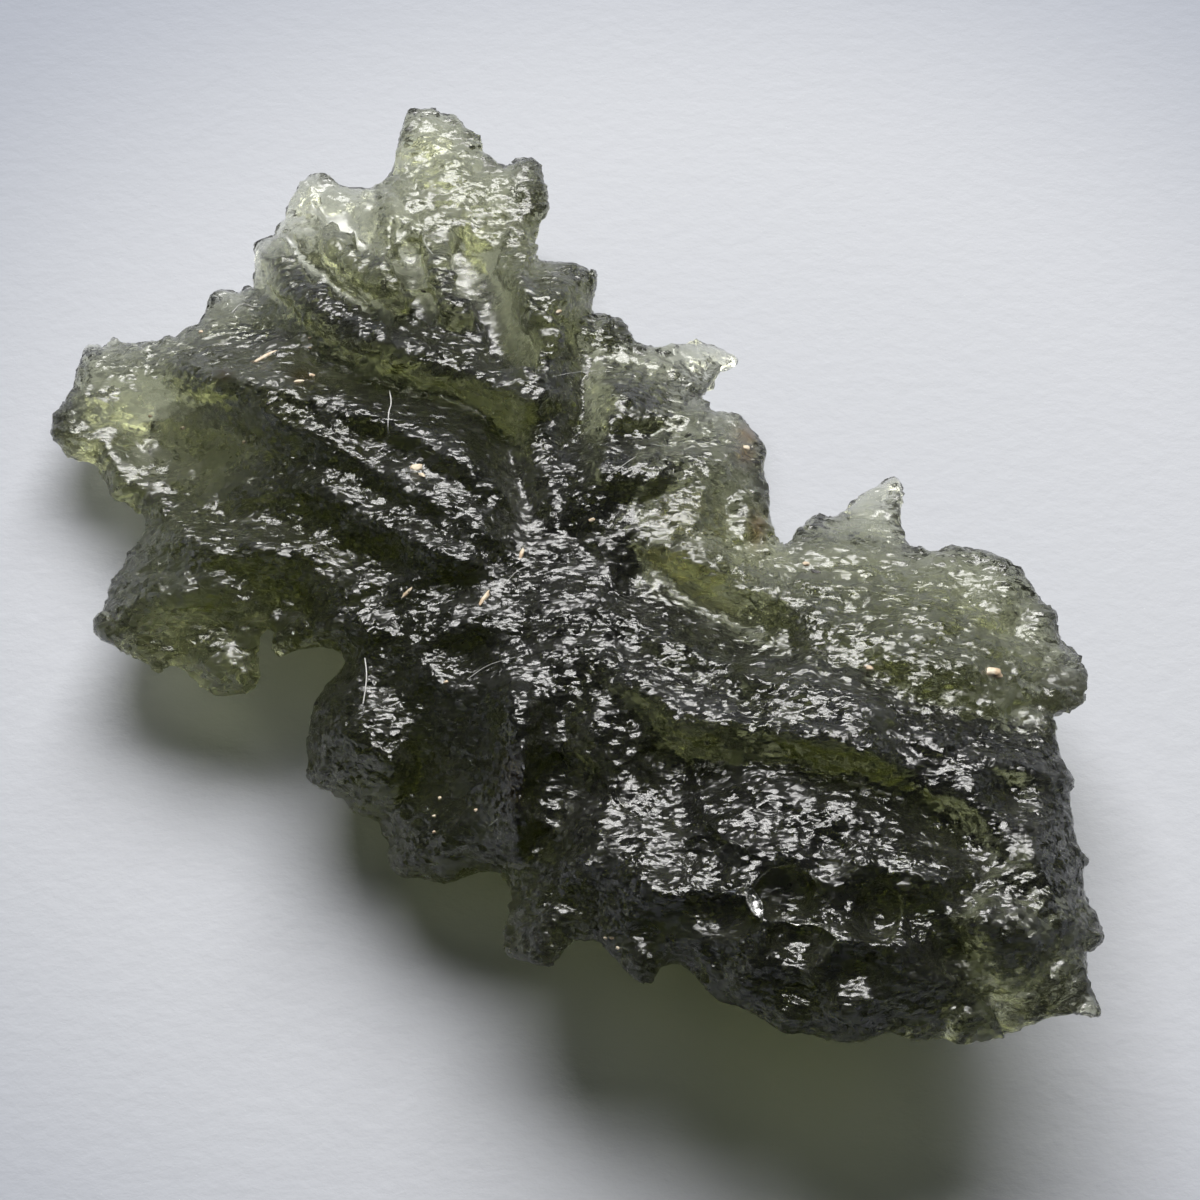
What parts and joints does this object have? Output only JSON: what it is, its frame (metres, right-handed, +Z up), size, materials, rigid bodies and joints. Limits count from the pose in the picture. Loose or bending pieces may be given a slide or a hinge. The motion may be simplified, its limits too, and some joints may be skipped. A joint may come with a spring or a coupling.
{
  "type": "moldavite",
  "caption": "Raw moldavite: a jagged, leaf-shaped splash of olive-green natural glass with radiating ropes and grooves, thin clear lobes and a heavy dark end.",
  "frame": {"origin": "on the ground under the middle of the stone's box", "axes": "+Z up from the surface the stone rests on; +X towards its right lobe and -Y towards its heavy near edge"},
  "size_m": [0.0264, 0.0288, 0.0079],
  "materials": {
    "tektite_glass": "glossy, finely wrinkled natural glass, dark olive where thick and clear pale green at the thin lobes"
  },
  "bodies": {
    "root": {"moldavite": "tektite_glass"}
  },
  "joints": []
}
